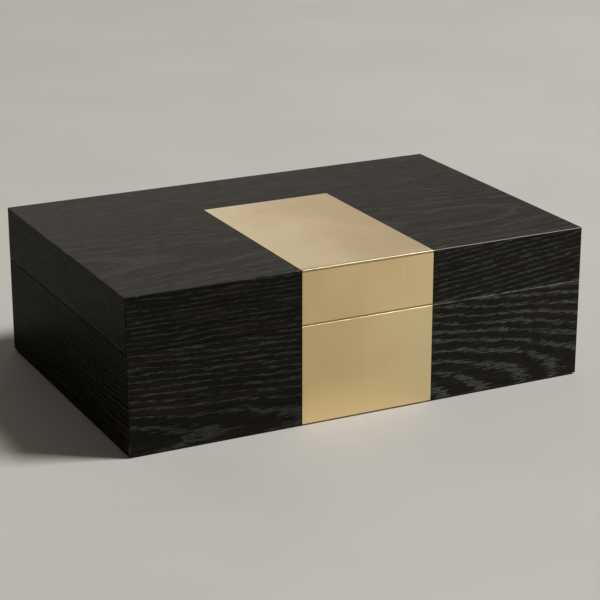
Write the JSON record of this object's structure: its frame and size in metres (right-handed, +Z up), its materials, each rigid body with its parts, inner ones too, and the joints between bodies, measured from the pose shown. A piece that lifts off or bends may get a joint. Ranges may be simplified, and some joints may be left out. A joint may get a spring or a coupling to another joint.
{
  "type": "hinged wooden box",
  "caption": "Rectangular veneered box with a hinged lid, a flush brass inlay over its front and top, and a padded lining.",
  "frame": {"origin": "centre of the felt underside, midway between the box's sides and between its front and back faces", "axes": "+X to the box's right seen from the front, +Y towards the hinges at the back, +Z up, with the lid closed"},
  "size_m": [0.28, 0.1905, 0.0893],
  "materials": {
    "stained_veneer": "black-brown stained open-pored oak veneer, satin lacquer",
    "rim_veneer": "black-brown stained oak veneer strips, satin lacquer",
    "core_board": "fine fibreboard, dyed black-brown through",
    "spline_plywood": "birch plywood",
    "inlay_brass": "satin brushed across the box's height and depth",
    "hinge_brass": "satin",
    "screw_brass": "polished",
    "lining_suede": "taupe microsuede over board",
    "pad_suede": "taupe microsuede over foam",
    "base_felt": "black felt",
    "buffer_rubber": "matte"
  },
  "bodies": {
    "base": {"base_front_core": "core_board", "base_right_core": "core_board", "base_back_core": "core_board", "base_left_core": "core_board", "base_bottom_panel": "core_board", "base_mitre_splines": "spline_plywood", "base_front_left_veneer": "stained_veneer", "base_front_right_veneer": "stained_veneer", "base_right_veneer": "stained_veneer", "base_back_veneer": "stained_veneer", "base_left_veneer": "stained_veneer", "base_front_rim": "rim_veneer", "base_right_rim": "rim_veneer", "base_back_rim": "rim_veneer", "base_left_rim": "rim_veneer", "rim_buffers": "buffer_rubber", "base_inlay": "inlay_brass", "base_front_liner": "lining_suede", "base_right_liner": "lining_suede", "base_back_liner": "lining_suede", "base_left_liner": "lining_suede", "base_floor_pad": "pad_suede", "base_felt": "base_felt", "left_hinge_base_leaf": "hinge_brass", "left_hinge_pin": "hinge_brass", "right_hinge_base_leaf": "hinge_brass", "right_hinge_pin": "hinge_brass", "base_hinge_screws": "screw_brass"},
    "lid": {"lid_front_core": "core_board", "lid_right_core": "core_board", "lid_back_core": "core_board", "lid_left_core": "core_board", "lid_top_panel": "core_board", "lid_mitre_splines": "spline_plywood", "lid_front_left_veneer": "stained_veneer", "lid_front_right_veneer": "stained_veneer", "lid_right_veneer": "stained_veneer", "lid_back_veneer": "stained_veneer", "lid_left_veneer": "stained_veneer", "lid_top_veneer": "stained_veneer", "lid_front_rim": "rim_veneer", "lid_right_rim": "rim_veneer", "lid_back_rim": "rim_veneer", "lid_left_rim": "rim_veneer", "lid_inlay": "inlay_brass", "lid_front_liner": "lining_suede", "lid_right_liner": "lining_suede", "lid_back_liner": "lining_suede", "lid_left_liner": "lining_suede", "lid_pad": "pad_suede", "left_hinge_lid_leaf": "hinge_brass", "right_hinge_lid_leaf": "hinge_brass", "lid_hinge_screws": "screw_brass"}
  },
  "joints": [
    {"name": "lid_hinge", "type": "hinge", "parent": "base", "child": "lid", "pos_m": [0, 0.09548, 0.0576], "axis": [-1, 0, 0], "range_deg": [0, 95]}
  ]
}
